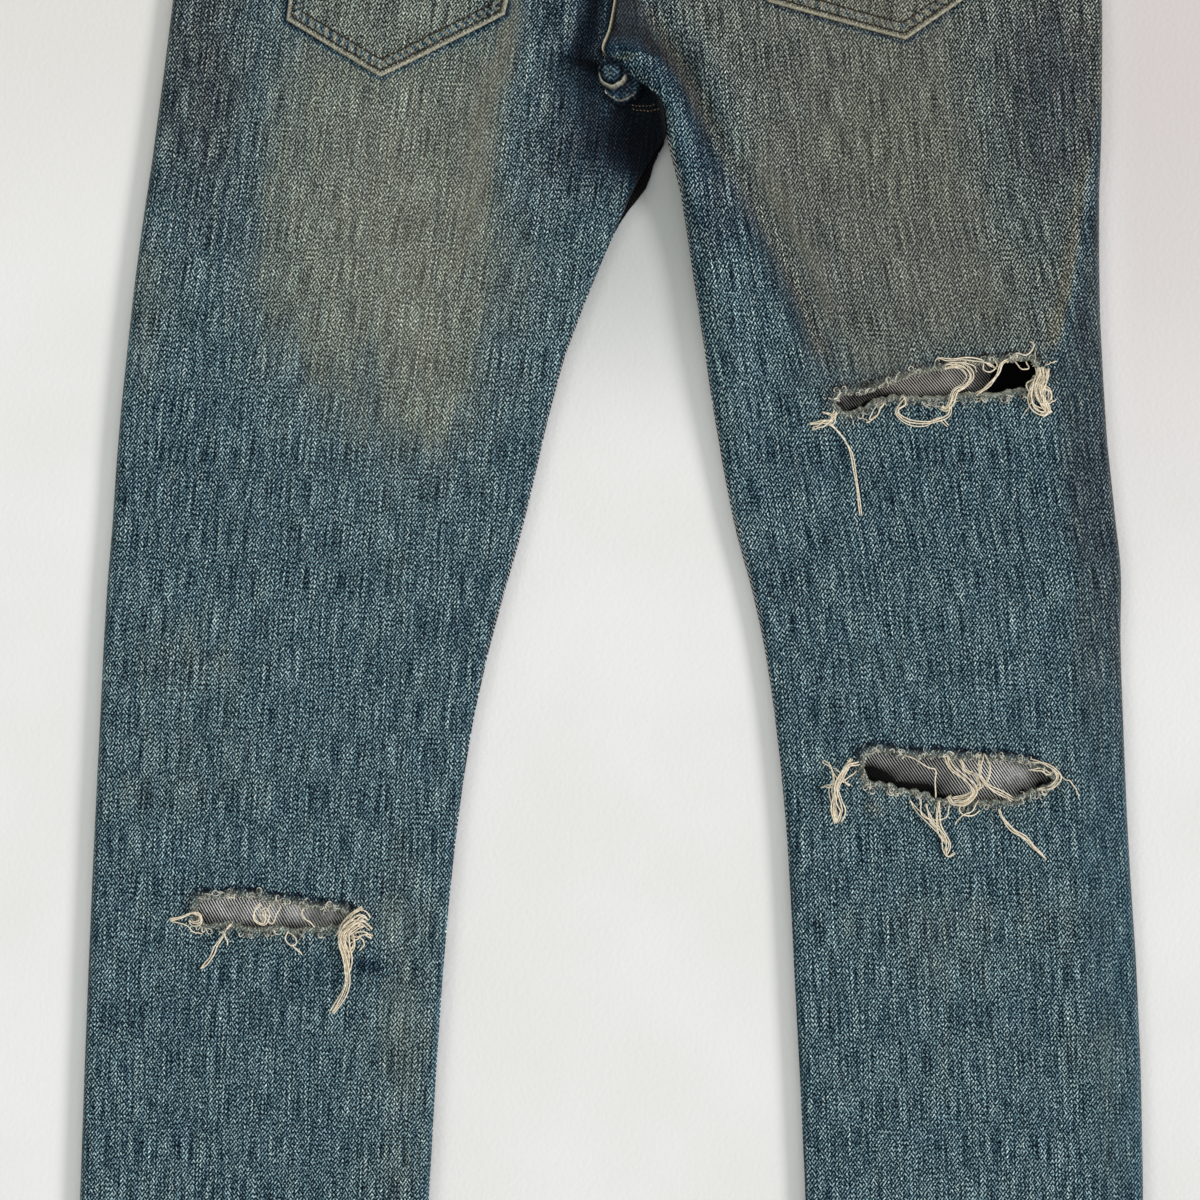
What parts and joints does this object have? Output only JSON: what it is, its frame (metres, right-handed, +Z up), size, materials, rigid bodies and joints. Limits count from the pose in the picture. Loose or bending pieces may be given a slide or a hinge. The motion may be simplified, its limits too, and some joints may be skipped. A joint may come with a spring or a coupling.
{
  "type": "ripped jeans",
  "caption": "Slim worn denim jeans laid flat with the back up, with patch pockets, a lapped waistband, turned hems and frayed slits across thigh and knees.",
  "frame": {"origin": "on the surface the jeans lie on, under the middle of their outline", "axes": "+Z up out of the back, +Y towards the waist, +X towards the wearer's right"},
  "size_m": [0.592, 1.0955, 0.0146],
  "materials": {
    "denim": "faded indigo twill, matt, worn pale on seams and edges",
    "dark_cloth": "plain black cotton, matt",
    "button_metal": "plain antique metal"
  },
  "bodies": {
    "root": {"back_left": "denim", "back_right": "denim", "front_left": "denim", "front_right": "denim", "yoke_left": "denim", "yoke_right": "denim", "waistband": "denim", "pocket_left": "denim", "pocket_right": "denim", "loop_back_left": "denim", "loop_back_middle": "denim", "loop_back_right": "denim", "loop_front_left": "denim", "loop_front_right": "denim", "patch_inside_right": "dark_cloth", "button": "button_metal"}
  },
  "joints": []
}
